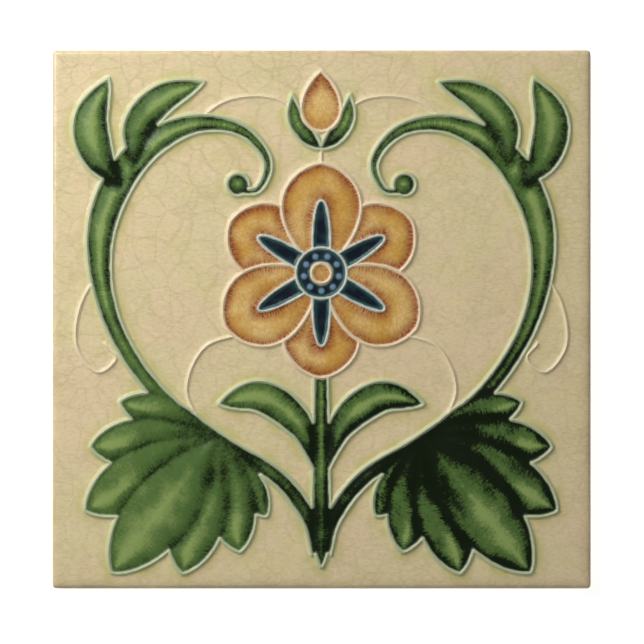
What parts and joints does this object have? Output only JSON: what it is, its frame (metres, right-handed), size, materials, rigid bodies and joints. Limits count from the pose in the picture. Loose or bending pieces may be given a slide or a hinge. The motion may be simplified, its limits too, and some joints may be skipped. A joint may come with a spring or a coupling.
{
  "type": "art nouveau tile",
  "caption": "Square glazed wall tile with a cushioned edge, a raised-line flower and leaf ornament filled with coloured glazes, and a keyed back for bedding.",
  "frame": {"origin": "centre of the underside: the middle of the back, at z = 0", "axes": "+Z out of the glazed face, +Y towards the top of the picture, +X to the right of the picture"},
  "size_m": [0.1524, 0.1524, 0.0093],
  "materials": {
    "glaze": "glossy cream majolica glaze, finely crazed, over a pale biscuit clay that is bare on the sides and the back; the ornament's fields are filled with pooled amber, leaf green and navy glazes"
  },
  "bodies": {
    "root": {"tile": "glaze"}
  },
  "joints": []
}
